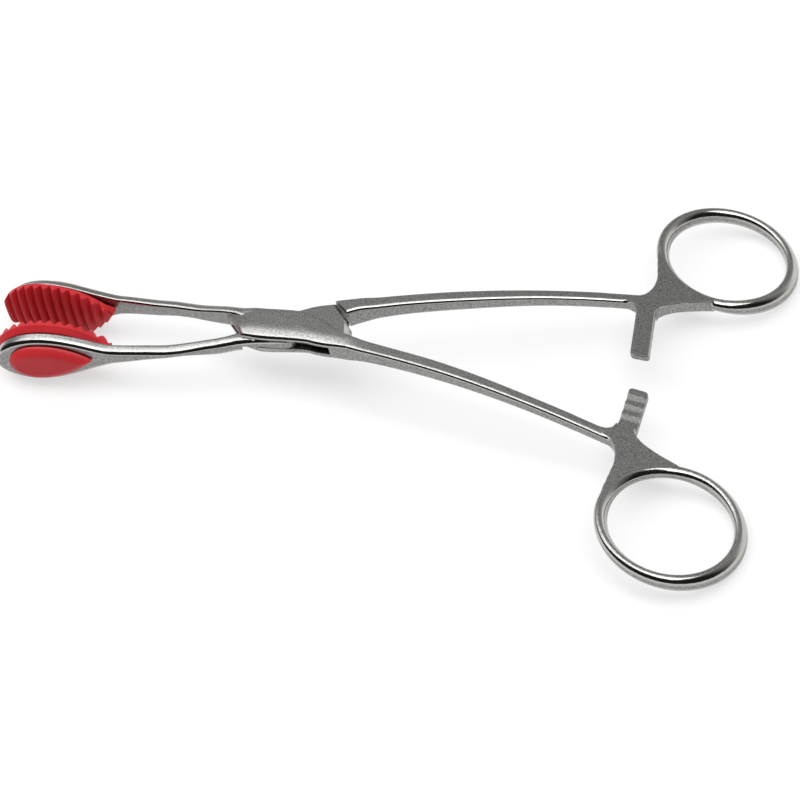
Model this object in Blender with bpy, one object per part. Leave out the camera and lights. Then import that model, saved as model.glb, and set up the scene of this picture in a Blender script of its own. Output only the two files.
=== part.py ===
"""Tongue forceps with a box lock, a side-by-side ratchet, finger rings and soft ribbed jaw pads.

The origin is on the lock pin's axis, at the flat front face of the lock. +Z is along the pin, out of the
front face, and +X runs from the lock to the finger rings. Each arm is shaped as it lies when the pads meet,
with y = 0 midway between the arms, and is then turned about the pin to the open position.
"""

import math

import bmesh
import bpy
from mathutils import Matrix, Vector

MM = 0.001

# How far the arms are opened
OPEN_ANGLE = math.radians(7.2)

# The box lock
LOCK_THICKNESS = 4.7 * MM
LOCK_HALF_WIDTH = 3.95 * MM
WAIST_THICKNESS = 1.6 * MM
WAIST_CLEARANCE = 0.2 * MM
WALL_REACH = 12.0 * MM
WALL_BEVEL = 0.5 * MM
SHOULDER_CLEARANCE = 0.3 * MM
SLOT_REACH = 9.4 * MM
PIN_RADIUS = 1.7 * MM
PIN_CLEARANCE = 0.05 * MM

# The jaws and their soft pads
JAW_REACH = 69.3 * MM
JAW_LENGTH = 27.0 * MM
JAW_STAGGER = 1.2 * MM
JAW_NOSE = 10.0 * MM
JAW_WIDTH = 13.4 * MM
JAW_THICKNESS = 2.3 * MM
JAW_EDGE_RADIUS = 1.25 * MM
WINDOW_RIM = 2.9 * MM
PAD_GAP = 0.3 * MM
PAD_INSET = 0.4 * MM
PAD_FLANGE = 2.1 * MM
PAD_CROWN = 1.6 * MM
PAD_SEAT = 0.2 * MM
RIB_HEIGHT = 1.1 * MM
RIB_PITCH = 2.15 * MM
RIB_STEPS = 5
BUTTON_OVERLAP = 0.75 * MM
BUTTON_HEIGHT = 2.0 * MM
BUTTON_SHOULDER = 1.3 * MM

# The shanks between the jaws and the lock
NECK_WIDTH = 4.5 * MM
SHANK_WIDTH = 3.4 * MM
SHANK_THICKNESS = 2.7 * MM
SHANK_BOW = 5.1 * MM
SHANK_BACK_OFFSET = 3.45 * MM

# The handles
HANDLE_THICKNESS = 3.1 * MM
HANDLE_START = 18.0 * MM
HANDLE_START_OFFSET = 6.1 * MM
HANDLE_START_THICKNESS = 3.9 * MM
HANDLE_END = 72.5 * MM
HANDLE_END_OFFSET = 16.1 * MM
DROP_START = 13.0 * MM
DROP_END = 66.0 * MM
DROP_SLOPE = 0.345

# The finger rings
RING_X = 88.1 * MM
RING_Y = 34.35 * MM
RING_HALF_LENGTH = 13.6 * MM
RING_HALF_WIDTH = 14.0 * MM
RING_BAR = 3.4 * MM

# The ratchet bars and the flat web that they grow from
WEB_THICKNESS = 2.4 * MM
BAR_X = 73.4 * MM
BAR_WIDTH = 3.9 * MM
BAR_THICKNESS = 1.5 * MM
BAR_TIP = 0.6 * MM
BAR_CLEARANCE = 0.12 * MM
BAR_CORNER = 0.8 * MM
TOOTH_COUNT = 3
TOOTH_PITCH = 2.9 * MM
TOOTH_DEPTH = 0.55 * MM
TOOTH_MARGIN = 1.1 * MM

# How finely round forms are divided
SIDE_STEPS = 3
RING_STEPS = 44
TUBE_STEPS = 14
PIN_STEPS = 40

# Distances across the jaw, from the plane where the pads meet
PAD_FACE = PAD_GAP / 2
RIB_ROOT = PAD_FACE + RIB_HEIGHT
PAD_BACK = RIB_ROOT + PAD_FLANGE
JAW_INSIDE = PAD_BACK + PAD_SEAT
JAW_OUTSIDE = JAW_INSIDE + JAW_THICKNESS
OVERRUN = 2.0 * MM


def clear_scene():
    for thing in list(bpy.data.objects):
        bpy.data.objects.remove(thing)


def material(name, colour, roughness, metallic):
    made = bpy.data.materials.new(name)
    made.use_nodes = True
    shader = made.node_tree.nodes["Principled BSDF"]
    shader.inputs["Base Color"].default_value = (*colour, 1.0)
    shader.inputs["Roughness"].default_value = roughness
    shader.inputs["Metallic"].default_value = metallic
    return made


def add_object(name, mesh):
    made = bpy.data.objects.new(name, mesh)
    bpy.context.scene.collection.objects.link(made)
    return made


def loft(name, rings):
    """A closed body through rings of equally many points."""
    body = bmesh.new()
    rows = [[body.verts.new(point) for point in ring] for ring in rings]
    count = len(rows[0])
    for near, far in zip(rows, rows[1:]):
        for i in range(count):
            j = (i + 1) % count
            body.faces.new((near[i], near[j], far[j], far[i]))
    body.faces.new(rows[0])
    body.faces.new(rows[-1])
    bmesh.ops.recalc_face_normals(body, faces=body.faces)
    mesh = bpy.data.meshes.new(name)
    body.to_mesh(mesh)
    body.free()
    return add_object(name, mesh)


def combine(target, tools, operation):
    """Joins, cuts or keeps the overlap with each tool, and removes the tools."""
    for tool in tools:
        step = target.modifiers.new("combine", "BOOLEAN")
        step.operation = operation
        step.solver = "EXACT"
        step.object = tool
        graph = bpy.context.evaluated_depsgraph_get()
        shaped = bpy.data.meshes.new_from_object(target.evaluated_get(graph))
        target.modifiers.clear()
        target.data = shaped
        bpy.data.objects.remove(tool)


def smooth_value(stations, x):
    """A smooth curve through (x, value) stations, read at x."""
    if x <= stations[0][0]:
        return stations[0][1]
    if x >= stations[-1][0]:
        return stations[-1][1]
    last = len(stations) - 1
    i = max(k for k in range(last) if stations[k][0] <= x)

    def slope(k):
        low = stations[max(k - 1, 0)]
        high = stations[min(k + 1, last)]
        return (high[1] - low[1]) / (high[0] - low[0])

    (x0, y0), (x1, y1) = stations[i], stations[i + 1]
    span = x1 - x0
    t = (x - x0) / span
    rise = y1 - y0
    near = slope(i) * span
    far = slope(i + 1) * span
    return y0 + near * t + (3 * rise - 2 * near - far) * t**2 + (near + far - 2 * rise) * t**3


def rounded_section(x, y_low, y_high, half_width, low_radius, high_radius):
    """A ring of points in the plane at x: a rectangle across Y and Z with its corners rounded."""
    most = 0.98 * min(half_width, (y_high - y_low) / 2)
    corners = (
        (y_high, half_width, min(high_radius, most), 0.0),
        (y_low, half_width, min(low_radius, most), 90.0),
        (y_low, -half_width, min(low_radius, most), 180.0),
        (y_high, -half_width, min(high_radius, most), 270.0),
    )
    ring = []
    for y, z, radius, start in corners:
        centre_y = y - math.copysign(radius, y - (y_low + y_high) / 2)
        centre_z = z - math.copysign(radius, z)
        for k in range(SIDE_STEPS + 1):
            angle = math.radians(start + 90.0 * k / SIDE_STEPS)
            ring.append(Vector((x, centre_y + radius * math.cos(angle), centre_z + radius * math.sin(angle))))
    return ring


def teardrop(nose, tail, half_width, tail_half_width, steps=11):
    """Half widths of a leaf outline by distance from its tip: a round nose, then one arc to the tail."""
    sag = half_width - tail_half_width
    radius = (tail**2 + sag**2) / (2 * sag)
    points = []
    for k in range(steps + 1):
        angle = math.pi / 2 * k / steps
        points.append((nose * (1 - math.cos(angle)), half_width * math.sin(angle)))
    for k in range(1, steps + 1):
        along = tail * k / steps
        points.append((nose + along, half_width - radius + math.sqrt(radius**2 - along**2)))
    return points


def leaf_ring(start_x, inset, y, nose, tail, half_width):
    """A closed leaf outline in the plane at y, drawn in from the full leaf by the inset."""
    points = teardrop(nose - inset, tail - 1.5 * inset, half_width - inset, 0.0)
    upper = [Vector((start_x + inset + along, y, width)) for along, width in points]
    lower = [Vector((p.x, y, -p.z)) for p in reversed(upper[1:-1])]
    return upper + lower


def jaw_tip_x():
    return -JAW_REACH


def jaw_tail():
    return JAW_LENGTH - JAW_NOSE


def front_half_width(x):
    """Half the width, across Z, of the jaw and the shank."""
    from_tip = x - jaw_tip_x()
    outline = teardrop(JAW_NOSE, jaw_tail(), JAW_WIDTH / 2, NECK_WIDTH / 2, 40)
    if from_tip <= JAW_NOSE:
        return JAW_WIDTH / 2 * math.sqrt(max(0.0, 1 - (1 - from_tip / JAW_NOSE) ** 2))
    flank = (from_tip - JAW_NOSE) / (JAW_LENGTH - JAW_NOSE)
    if flank < 1.0:
        ease = math.cos(math.pi / 2 * flank) ** 1.35
        return NECK_WIDTH / 2 + (outline[40][1] - NECK_WIDTH / 2) * ease
    stations = (
        (jaw_tip_x() + JAW_LENGTH, NECK_WIDTH / 2),
        (jaw_tip_x() + JAW_LENGTH + 9 * MM, SHANK_WIDTH / 2 + 0.15 * MM),
        (-HANDLE_START - 8 * MM, SHANK_WIDTH / 2),
        (-WALL_REACH - 3 * MM, LOCK_THICKNESS / 2 - 0.1 * MM),
        (-WALL_REACH, LOCK_THICKNESS / 2),
    )
    return smooth_value(stations, x)


def arm_stations():
    """Along the arm: x, the middle across Y, and half the thickness across Y. The jaw is at +Y here."""
    jaw_middle = (JAW_INSIDE + JAW_OUTSIDE) / 2
    neck = jaw_tip_x() + JAW_LENGTH
    middle_of_shank = (neck - WALL_REACH) / 2
    run = HANDLE_END - HANDLE_START
    rise = HANDLE_END_OFFSET - HANDLE_START_OFFSET
    middles = [
        (jaw_tip_x(), jaw_middle),
        (neck - 8 * MM, jaw_middle),
        (neck, jaw_middle + 0.25 * MM),
        (neck + 8 * MM, SHANK_BOW),
        (neck + 14 * MM, SHANK_BOW - 0.1 * MM),
        (neck + 21 * MM, SHANK_BOW - 0.8 * MM),
        (-WALL_REACH - 3 * MM, SHANK_BACK_OFFSET),
        (-WALL_REACH / 2, 1.8 * MM),
        (0.0, 0.0),
        (WALL_REACH / 2, -2.3 * MM),
        (WALL_REACH, -4.7 * MM),
        (HANDLE_START, -HANDLE_START_OFFSET),
        (HANDLE_START + run / 3, -HANDLE_START_OFFSET - rise * 0.31),
        (HANDLE_START + 2 * run / 3, -HANDLE_START_OFFSET - rise * 0.66),
        (HANDLE_END, -HANDLE_END_OFFSET),
    ]
    halves = [
        (jaw_tip_x(), JAW_THICKNESS / 2),
        (neck - 8 * MM, JAW_THICKNESS / 2),
        (middle_of_shank, SHANK_THICKNESS / 2),
        (-WALL_REACH - 3 * MM, 1.75 * MM),
        (-WALL_REACH / 2, 2.35 * MM),
        (0.0, LOCK_HALF_WIDTH),
        (WALL_REACH / 2, 2.95 * MM),
        (WALL_REACH, 2.35 * MM),
        (HANDLE_START, HANDLE_START_THICKNESS / 2),
        (HANDLE_START + run / 3, (HANDLE_THICKNESS + 0.4 * MM) / 2),
        (HANDLE_START + 2 * run / 3, HANDLE_THICKNESS / 2),
        (HANDLE_END, HANDLE_THICKNESS / 2),
    ]
    return middles, halves


def back_half_width(x):
    """Half the width, across Z, of the lock and the handle."""
    run = HANDLE_END - HANDLE_START
    stations = (
        (-WALL_REACH, LOCK_THICKNESS / 2),
        (WALL_REACH + 1 * MM, LOCK_THICKNESS / 2),
        (HANDLE_START, HANDLE_START_THICKNESS / 2 + 0.15 * MM),
        (HANDLE_START + run / 3, (HANDLE_THICKNESS + 0.4 * MM) / 2),
        (HANDLE_START + 2 * run / 3, HANDLE_THICKNESS / 2),
        (HANDLE_END, HANDLE_THICKNESS / 2),
    )
    return smooth_value(stations, x)


def arm_places():
    """The x of each section, closer together where the form changes fast."""
    tip = jaw_tip_x()
    neck = tip + JAW_LENGTH
    nose = [tip + JAW_NOSE * (1 - math.cos(math.pi / 2 * k / 10)) for k in range(1, 11)]
    nose.insert(0, tip + JAW_NOSE * 0.002)
    flank = [tip + JAW_NOSE + (JAW_LENGTH - JAW_NOSE) * k / 12 for k in range(1, 13)]
    shank = [neck + (-WALL_REACH - 2 * MM - neck) * k / 11 for k in range(1, 12)]
    lock = [-WALL_REACH + 2 * WALL_REACH * k / 14 for k in range(15)]
    handle = [WALL_REACH + (HANDLE_END - WALL_REACH) * k / 26 for k in range(1, 27)]
    return nose + flank + shank + lock + handle


def corner_radii(x):
    """Radii of the inner and outer edges: crisp inside the jaw, round along the shank and the handle."""
    neck = jaw_tip_x() + JAW_LENGTH
    inner = smooth_value(((neck - 6 * MM, 0.35 * MM), (neck + 4 * MM, 0.9 * MM), (-WALL_REACH, 1.2 * MM),
                          (0.0, 1.35 * MM), (HANDLE_START, 1.5 * MM), (HANDLE_END, 1.4 * MM)), x)
    outer = smooth_value(((neck, JAW_EDGE_RADIUS), (-WALL_REACH, 1.3 * MM), (0.0, 1.35 * MM),
                          (HANDLE_START, 1.5 * MM), (HANDLE_END, 1.4 * MM)), x)
    return inner, outer


def nose_depth(x):
    """How much lower the outer face lies near the tip, where the jaw's round edge runs across it."""
    from_tip = x - jaw_tip_x()
    if from_tip >= JAW_EDGE_RADIUS:
        return 0.0
    return JAW_EDGE_RADIUS - math.sqrt(JAW_EDGE_RADIUS**2 - (JAW_EDGE_RADIUS - from_tip) ** 2)


def shaft(name):
    """The jaw plate, shank, lock strip and handle of one arm in a single sweep, with its jaw at +Y."""
    middles, halves = arm_stations()
    rings = []
    for x in arm_places():
        middle = smooth_value(middles, x)
        half = smooth_value(halves, x)
        width = front_half_width(x) if x < -WALL_REACH else back_half_width(x)
        inner, outer = corner_radii(x)
        high = middle + half - nose_depth(x)
        rings.append(rounded_section(x, middle - half, high, width, inner, outer))
    rings += handle_end_rings()
    return loft(name, rings)


def handle_end_rings():
    """The handle's last stretch, which turns into the finger ring."""
    aim = math.radians(247.0)
    end = Vector((RING_X + RING_HALF_LENGTH * math.cos(aim), -RING_Y - RING_HALF_WIDTH * math.sin(aim)))
    start = Vector((HANDLE_END, -HANDLE_END_OFFSET))
    slope = (HANDLE_END_OFFSET - HANDLE_START_OFFSET) / (HANDLE_END - HANDLE_START)
    control = start + Vector((1.0, -slope)) * (end.x - start.x) * 0.6
    rings = []
    for k in range(1, 6):
        t = k / 5
        place = start * (1 - t) ** 2 + control * 2 * t * (1 - t) + end * t**2
        half = (HANDLE_THICKNESS / 2) * (1 - t) + (RING_BAR / 2 - 0.25 * MM) * t
        rings.append(rounded_section(place.x, place.y - half, place.y + half, half, 1.35 * MM, 1.35 * MM))
    return rings


def finger_ring(name):
    """The bar bent into an oval, for the arm whose handle is at -Y."""
    body = bmesh.new()
    rows = []
    for i in range(RING_STEPS):
        around = 2 * math.pi * i / RING_STEPS
        middle = Vector((RING_X + RING_HALF_LENGTH * math.cos(around), -RING_Y - RING_HALF_WIDTH * math.sin(around), 0))
        outward = Vector((math.cos(around) / RING_HALF_LENGTH, -math.sin(around) / RING_HALF_WIDTH, 0)).normalized()
        row = []
        for k in range(TUBE_STEPS):
            turn = 2 * math.pi * (k + 0.5) / TUBE_STEPS
            offset = outward * math.cos(turn) + Vector((0, 0, 1)) * math.sin(turn)
            row.append(body.verts.new(middle + offset * RING_BAR / 2))
        rows.append(row)
    for i in range(RING_STEPS):
        near = rows[i]
        far = rows[(i + 1) % RING_STEPS]
        for k in range(TUBE_STEPS):
            m = (k + 1) % TUBE_STEPS
            body.faces.new((near[k], near[m], far[m], far[k]))
    bmesh.ops.recalc_face_normals(body, faces=body.faces)
    mesh = bpy.data.meshes.new(name)
    body.to_mesh(mesh)
    body.free()
    return add_object(name, mesh)


def bend_points(start, control, end, steps):
    """Points of a concave fillet from start to end, drawn towards the control point."""
    points = []
    for k in range(steps + 1):
        t = k / steps
        points.append(start * (1 - t) ** 2 + control * 2 * t * (1 - t) + end * t**2)
    return points


def ring_point(degrees, outward=0.0):
    around = math.radians(degrees)
    reach_x = RING_HALF_LENGTH + outward
    reach_y = RING_HALF_WIDTH + outward
    return Vector((RING_X + reach_x * math.cos(around), -RING_Y - reach_y * math.sin(around)))


def web_outline():
    """The flat web between handle, ring and ratchet bar, for the arm whose handle is at -Y."""
    slope = (HANDLE_END_OFFSET - HANDLE_START_OFFSET) / (HANDLE_END - HANDLE_START)
    right = BAR_X + BAR_WIDTH / 2
    left = BAR_X - BAR_WIDTH / 2

    def handle_edge(x, offset):
        return Vector((x, -HANDLE_END_OFFSET - slope * (x - HANDLE_END) + offset))

    outer_start = handle_edge(left - 1.5 * MM, 0.0)
    outer_end = ring_point(199.0)
    outer = bend_points(outer_start, handle_edge(RING_X - RING_HALF_LENGTH + 1.2 * MM, -2.6 * MM), outer_end, 9)
    along_ring = [ring_point(a) for a in (208.0, 219.0, 230.0, 242.0, 254.0)]
    inner_start = ring_point(262.0)
    root = handle_edge(right, HANDLE_THICKNESS / 2 + 2.2 * MM)
    control = Vector((right + 0.5 * MM, inner_start.y + 0.4 * MM))
    inner = bend_points(inner_start, control, root, 7)
    heel = handle_edge(left, HANDLE_THICKNESS / 2 + 1.3 * MM)
    toe = handle_edge(left - 1.8 * MM, 0.0)
    heel_bend = bend_points(heel, handle_edge(left, 0.35 * HANDLE_THICKNESS), toe, 4)
    return outer + along_ring + inner + heel_bend


def flat_plate(name, outline, low, high):
    return loft(name, [[Vector((p.x, p.y, z)) for p in outline] for z in (low, high)])


def ratchet_bar(name, facing):
    """A flat bar across the instrument. Its teeth face +Z or -Z, towards the other arm's bar."""
    root = -HANDLE_END_OFFSET
    crest = BAR_CLEARANCE
    valley = crest + TOOTH_DEPTH
    back = crest + BAR_THICKNESS
    profile = [Vector((BAR_TIP, crest)), Vector((BAR_TIP, back)), Vector((root, back)), Vector((root, crest))]
    for k in reversed(range(TOOTH_COUNT)):
        tooth = BAR_TIP - TOOTH_MARGIN - TOOTH_PITCH * (k + 1)
        profile.append(Vector((tooth, crest)))
        profile.append(Vector((tooth + TOOTH_DEPTH * 0.35, valley)))
        profile.append(Vector((tooth + TOOTH_PITCH * 0.45, valley)))
        profile.append(Vector((tooth + TOOTH_PITCH * 0.8, crest)))
    half = BAR_WIDTH / 2
    rings = [[Vector((x, p.x, -facing * p.y)) for p in profile] for x in (BAR_X - half, BAR_X + half)]
    bar = loft(name, rings)
    combine(bar, [flat_plate("bar_corners", bar_outline(), -WEB_THICKNESS, WEB_THICKNESS)], "INTERSECT")
    return bar


def bar_outline():
    """The bar seen along the pin, with its two tip corners rounded."""
    half = BAR_WIDTH / 2
    outline = [Vector((BAR_X - half, -HANDLE_END_OFFSET - OVERRUN)), Vector((BAR_X + half, -HANDLE_END_OFFSET - OVERRUN))]
    for side, start in ((1, 0.0), (-1, 90.0)):
        centre = Vector((BAR_X + side * (half - BAR_CORNER), BAR_TIP - BAR_CORNER))
        for k in range(4):
            angle = math.radians(start + 30.0 * k)
            outline.append(centre + BAR_CORNER * Vector((math.cos(angle), math.sin(angle))))
    return outline


def turned(name, profile, steps):
    """A body turned about the pin's axis from (radius, z) points, bottom to top."""
    rings = []
    for radius, z in profile:
        ring = []
        for k in range(steps):
            angle = 2 * math.pi * k / steps
            ring.append(Vector((radius * math.cos(angle), radius * math.sin(angle), z)))
        rings.append(ring)
    return loft(name, rings)


def slab(name, low, high):
    """A plain box between two opposite corners."""
    outline = [Vector((low[0], low[1])), Vector((high[0], low[1])), Vector((high[0], high[1])), Vector((low[0], high[1]))]
    return flat_plate(name, outline, low[2], high[2])


def jaw_window(name):
    """The leaf-shaped opening through the jaw, as a cutter."""
    rings = []
    for y in (0.0, JAW_OUTSIDE + OVERRUN):
        rings.append(leaf_ring(jaw_tip_x(), WINDOW_RIM, y, JAW_NOSE, jaw_tail(), JAW_WIDTH / 2))
    return loft(name, rings)


def mirror_across(body):
    """Mirrors a body's mesh across y = 0."""
    body.data.transform(Matrix.Diagonal((1.0, -1.0, 1.0, 1.0)))
    body.data.flip_normals()


def plain_arm(name, facing):
    """One forged arm with its jaw at +Y, before the lock is cut."""
    arm = shaft(name)
    parts = [
        finger_ring("ring"),
        flat_plate("web", web_outline(), -WEB_THICKNESS / 2, WEB_THICKNESS / 2),
        ratchet_bar("bar", facing),
    ]
    combine(arm, parts, "UNION")
    combine(arm, [jaw_window("window")], "DIFFERENCE")
    return arm


def drop(x):
    """How far the handles bend down, out of the plane of the lock, by x."""
    curve = DROP_SLOPE / (2 * (DROP_END - DROP_START))
    bent = min(max(x - DROP_START, 0.0), DROP_END - DROP_START)
    return curve * bent**2 + DROP_SLOPE * max(x - DROP_END, 0.0)


def stagger_jaw(body, amount):
    """Moves the jaw along the arm, which lengthens or shortens only the shank behind it."""
    start = -WALL_REACH - 3 * MM
    end = jaw_tip_x() + JAW_LENGTH
    for vertex in body.data.vertices:
        share = (start - vertex.co.x) / (start - end)
        vertex.co.x -= amount * min(max(share, 0.0), 1.0)


def bend_handles(arm):
    for vertex in arm.data.vertices:
        vertex.co.z -= drop(vertex.co.x)


def wall_disc(name):
    """The round region of the lock's walls, with the bevel at their ends."""
    half = LOCK_THICKNESS / 2
    profile = (
        (WALL_REACH - WALL_BEVEL - OVERRUN, -half - OVERRUN),
        (WALL_REACH, -half + WALL_BEVEL),
        (WALL_REACH, half - WALL_BEVEL),
        (WALL_REACH - WALL_BEVEL - OVERRUN, half + OVERRUN),
    )
    return turned(name, profile, 72)


def pin_hole(name):
    radius = PIN_RADIUS + PIN_CLEARANCE
    return turned(name, ((radius, -LOCK_THICKNESS), (radius, LOCK_THICKNESS)), PIN_STEPS)


def lock_strip(name):
    """The stretch of the crossing arm that the lock's walls cover, with its jaw end at +Y."""
    middles, halves = arm_stations()
    reach = WALL_REACH + OVERRUN
    rings = []
    for k in range(25):
        x = -reach + 2 * reach * k / 24
        middle = smooth_value(middles, x)
        half = smooth_value(halves, x)
        inner, outer = corner_radii(x)
        rings.append(rounded_section(x, middle - half, middle + half, LOCK_THICKNESS / 2, inner, outer))
    return loft(name, rings)


def box_arm():
    """The arm with its jaw at +Y: its lock has two walls with the slot between them."""
    arm = plain_arm("box_arm", 1)
    cheeks = lock_strip("cheeks")
    mirror_across(cheeks)
    combine(cheeks, [wall_disc("walls")], "INTERSECT")
    combine(arm, [cheeks], "UNION")
    half = WAIST_THICKNESS / 2 + WAIST_CLEARANCE
    far = WALL_REACH + OVERRUN
    wide = 2 * WALL_REACH
    slot = slab("slot", (-SLOT_REACH, -wide, -half), (SLOT_REACH, wide, half))
    right = slab("right_wing", (SLOT_REACH - OVERRUN, 0.0, -half), (far, wide, half))
    left = slab("left_wing", (-far, -wide, -half), (-SLOT_REACH + OVERRUN, 0.0, half))
    combine(slot, [right, left], "UNION")
    combine(arm, [slot, pin_hole("hole")], "DIFFERENCE")
    stagger_jaw(arm, JAW_STAGGER)
    bend_handles(arm)
    return arm


def cross_arm():
    """The arm with its jaw at -Y: its thin waist passes through the slot."""
    arm = plain_arm("cross_arm", -1)
    mirror_across(arm)
    reach = WALL_REACH + SHOULDER_CLEARANCE
    thin = WAIST_THICKNESS / 2
    for sign in (1, -1):
        profile = sorted(((reach, sign * thin), (reach, sign * LOCK_THICKNESS)), key=lambda place: place[1])
        combine(arm, [turned("pocket", profile, 72)], "DIFFERENCE")
    combine(arm, [pin_hole("hole")], "DIFFERENCE")
    stagger_jaw(arm, -JAW_STAGGER)
    bend_handles(arm)
    return arm


def lock_pin():
    """The rivet, with both ends flush with the lock's faces."""
    half = LOCK_THICKNESS / 2
    return turned("lock_pin", ((PIN_RADIUS, -half), (PIN_RADIUS, half)), PIN_STEPS)


def window_leaf(inset, y):
    return leaf_ring(jaw_tip_x(), WINDOW_RIM + inset, y, JAW_NOSE, jaw_tail(), JAW_WIDTH / 2)


def pad_half_width(along):
    """Half the pad's width by distance from its tip: a round nose, then one arc to a point."""
    nose = JAW_NOSE - PAD_INSET
    tail = jaw_tail() - PAD_INSET
    half = JAW_WIDTH / 2 - PAD_INSET
    if along < nose:
        return half * math.sqrt(max(0.0, 1 - (1 - along / nose) ** 2))
    radius = (tail**2 + half**2) / (2 * half)
    return half - radius + math.sqrt(radius**2 - (along - nose) ** 2)


def pad_places():
    """Distances from the pad's tip: the steps of every rib, closer together round the nose."""
    length = JAW_LENGTH - 2 * PAD_INSET
    step = RIB_PITCH / RIB_STEPS
    places = [step * k for k in range(1, int(length / step))]
    places += [step * part for part in (0.04, 0.2, 0.5)]
    return sorted(places)


def pad_section(along):
    """The pad's flange in the plane at one distance from its tip, with its ribbed face crowned."""
    half = pad_half_width(along)
    nose = JAW_NOSE - PAD_INSET
    length = JAW_LENGTH - 2 * PAD_INSET
    valley = 1 - math.sin(math.pi * ((along / RIB_PITCH) % 1.0)) ** 0.8
    end = max(0.0, 1 - along / nose, 1 - (length - along) / (0.6 * nose))
    front = []
    for share in (-1.0, -0.97, -0.82, -0.5, 0.0, 0.5, 0.82, 0.97, 1.0):
        edge = math.sqrt(share**2 * (1 - end**2) + end**2)
        depth = PAD_CROWN * edge**2.4 + RIB_HEIGHT * valley * (1 - 0.6 * edge**4)
        depth += 0.25 * MM * max(0.0, edge - 0.96) / 0.04
        front.append(Vector((0.0, PAD_FACE + depth, share * half)))
    back = [
        Vector((0.0, PAD_BACK - 0.25 * MM, half)),
        Vector((0.0, PAD_BACK, max(0.5 * half, half - 0.2 * MM))),
        Vector((0.0, PAD_BACK, -max(0.5 * half, half - 0.2 * MM))),
        Vector((0.0, PAD_BACK - 0.25 * MM, -half)),
    ]
    place = Vector((jaw_tip_x() + PAD_INSET + along, 0.0, 0.0))
    return [place + point for point in front + back]


def jaw_pad(name):
    """The soft insert with its face towards -Y: ribbed flange, neck through the window and raised button."""
    under = JAW_OUTSIDE + PAD_SEAT
    top = under + BUTTON_HEIGHT
    rings = [
        window_leaf(PAD_SEAT, PAD_BACK - 0.4 * PAD_FLANGE),
        window_leaf(PAD_SEAT, under),
        window_leaf(-BUTTON_OVERLAP, under),
        window_leaf(-BUTTON_OVERLAP + 0.1 * MM, under + 0.3 * BUTTON_HEIGHT),
        window_leaf(-BUTTON_OVERLAP + 0.45 * BUTTON_SHOULDER, under + 0.75 * BUTTON_HEIGHT),
        window_leaf(-BUTTON_OVERLAP + BUTTON_SHOULDER, top),
    ]
    pad = loft(name, [pad_section(along) for along in pad_places()])
    combine(pad, [loft("button", rings)], "UNION")
    return pad


def finish_object(body, paint, holder):
    body.data.materials.clear()
    body.data.materials.append(paint)
    body.data.shade_smooth()
    body.data.set_sharp_from_angle(angle=math.radians(35.0))
    body.parent = holder


def axis_empty(name, angle):
    """An empty on the pin's axis, at the middle of the lock's thickness."""
    holder = bpy.data.objects.new(name, None)
    bpy.context.scene.collection.objects.link(holder)
    holder.location = (0.0, 0.0, -LOCK_THICKNESS / 2)
    holder.rotation_euler = (0.0, 0.0, angle)
    return holder


def main():
    clear_scene()
    box_axis = axis_empty("box_arm_axis", -OPEN_ANGLE / 2)
    cross_axis = axis_empty("cross_arm_axis", OPEN_ANGLE / 2)
    upper = jaw_pad("upper_pad")
    lower = jaw_pad("lower_pad")
    stagger_jaw(upper, JAW_STAGGER)
    stagger_jaw(lower, -JAW_STAGGER)
    mirror_across(lower)
    finish_object(box_arm(), material("box_arm_steel", (0.45, 0.45, 0.44), 0.28, 1.0), box_axis)
    finish_object(cross_arm(), material("cross_arm_steel", (0.45, 0.45, 0.44), 0.28, 1.0), cross_axis)
    finish_object(lock_pin(), material("pin_steel", (0.45, 0.45, 0.44), 0.3, 1.0), box_axis)
    finish_object(upper, material("upper_pad_rubber", (0.55, 0.03, 0.04), 0.5, 0.0), box_axis)
    finish_object(lower, material("lower_pad_rubber", (0.55, 0.03, 0.04), 0.5, 0.0), cross_axis)


main()
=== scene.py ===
import math

import bmesh
import bpy
from mathutils import Matrix, Vector


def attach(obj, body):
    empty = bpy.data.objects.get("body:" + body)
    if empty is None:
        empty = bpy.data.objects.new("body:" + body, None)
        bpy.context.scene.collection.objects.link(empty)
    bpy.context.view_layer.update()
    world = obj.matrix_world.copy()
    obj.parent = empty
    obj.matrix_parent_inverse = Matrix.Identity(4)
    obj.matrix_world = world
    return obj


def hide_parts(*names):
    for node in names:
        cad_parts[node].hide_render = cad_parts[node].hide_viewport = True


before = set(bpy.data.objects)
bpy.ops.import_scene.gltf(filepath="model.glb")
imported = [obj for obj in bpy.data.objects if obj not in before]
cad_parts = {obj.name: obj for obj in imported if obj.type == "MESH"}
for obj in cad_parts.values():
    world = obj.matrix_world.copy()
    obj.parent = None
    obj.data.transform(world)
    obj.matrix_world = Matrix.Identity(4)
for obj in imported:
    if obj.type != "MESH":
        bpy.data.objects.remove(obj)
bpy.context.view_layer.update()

# Everything is shaped in millimetres, in the closed pose, and then turned open about the pin.
OPEN_ANGLE = math.radians(7.2)

# The box lock
LOCK_THICKNESS = 4.7
LOCK_HALF_WIDTH = 3.6
LOCK_REACH = 12.0
LOCK_EDGE_RADIUS = 1.0
LOCK_COVER = 0.02
WAIST_THICKNESS = 1.6
WAIST_CLEARANCE = 0.2
WALL_FRONT = 9.7
WALL_BACK = 11.2
WALL_END_ANGLE = math.radians(41.3)
WALL_CROTCH = 11.85
WALL_CROTCH_ANGLE = math.radians(14.2)
WALL_BEVEL = 0.7
SHOULDER_CLEARANCE = 0.3
SLOT_REACH = 9.4
PIN_RADIUS = 1.7
PIN_CLEARANCE = 0.05

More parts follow.
